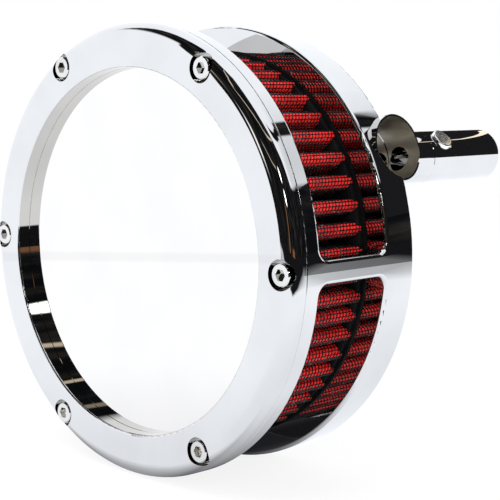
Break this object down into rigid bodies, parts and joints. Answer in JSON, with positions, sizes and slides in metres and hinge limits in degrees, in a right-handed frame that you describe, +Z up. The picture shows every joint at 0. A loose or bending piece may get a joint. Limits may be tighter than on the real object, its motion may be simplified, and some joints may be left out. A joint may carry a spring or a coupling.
{
  "type": "air filter",
  "caption": "Round open-sided motorcycle air filter: chromed cover and cage round a red pleated element, with two rear standoff tubes.",
  "frame": {"origin": "centre of the rear mounting face, on the axis of the throttle bore", "axes": "+Y along the filter's axis towards the engine, so the cover faces -Y; +Z up as fitted, with the two standoffs above centre; +X to the right when the cover is looked at"},
  "size_m": [0.175, 0.1305, 0.175],
  "materials": {
    "chrome_plate": "mirror-polished chrome plating over billet aluminium",
    "chrome_mirror": "flat mirror-polished chrome plating over aluminium plate",
    "screw_chrome": "chromed steel socket cap screws",
    "screw_steel": "zinc-plated steel",
    "red_cotton": "red oiled cotton gauze, pleated",
    "wire_gauze": "dark epoxy-coated woven wire",
    "black_urethane": "moulded black urethane, satin",
    "seal_rubber": "black nitrile rubber",
    "machined_aluminium": "turned aluminium, fine lathe marks"
  },
  "bodies": {
    "housing": {"filter_housing": "chrome_plate", "velocity_stack": "machined_aluminium", "stack_screws": "screw_steel", "throat_seal": "seal_rubber", "standoff_base_screws": "screw_steel", "right_standoff_base": "chrome_plate", "left_standoff_base": "chrome_plate", "right_spigot_seal": "seal_rubber", "left_spigot_seal": "seal_rubber"},
    "cover": {"bezel_ring": "chrome_plate", "cover_plate": "chrome_mirror", "cover_screws": "screw_chrome", "plate_screws": "screw_steel"},
    "element": {"front_seal": "seal_rubber", "front_end_cap": "black_urethane", "pleated_media": "red_cotton", "outer_gauze": "wire_gauze", "inner_gauze": "wire_gauze", "rear_end_cap": "black_urethane"},
    "right_sleeve": {"right_standoff_sleeve": "chrome_plate", "right_sleeve_seal": "seal_rubber"},
    "left_sleeve": {"left_standoff_sleeve": "chrome_plate", "left_sleeve_seal": "seal_rubber"},
    "right_lock": {"right_lock_screw": "screw_chrome"},
    "left_lock": {"left_lock_screw": "screw_chrome"}
  },
  "joints": [
    {"name": "cover_removal", "type": "slide", "parent": "housing", "child": "cover", "axis": [0, -1, 0], "range_m": [0, 0.12]},
    {"name": "element_removal", "type": "slide", "parent": "housing", "child": "element", "axis": [0, -1, 0], "range_m": [0, 0.06]},
    {"name": "right_sleeve_slide", "type": "slide", "parent": "housing", "child": "right_sleeve", "axis": [0, 1, 0], "range_m": [0, 0.006]},
    {"name": "left_sleeve_slide", "type": "slide", "parent": "housing", "child": "left_sleeve", "axis": [0, 1, 0], "range_m": [0, 0.006]},
    {"name": "right_lock_turn", "type": "hinge", "parent": "right_sleeve", "child": "right_lock", "pos_m": [0.07566, 0.03, 0.04341], "axis": [0.7071, 0, 0.7071], "range_deg": [0, 360]},
    {"name": "left_lock_turn", "type": "hinge", "parent": "left_sleeve", "child": "left_lock", "pos_m": [-0.07566, 0.03, 0.04341], "axis": [-0.7071, 0, 0.7071], "range_deg": [0, 360]}
  ],
  "couplings": [
    {"joint": "element_removal", "follows": "cover_removal", "ratio": 0.5}
  ]
}
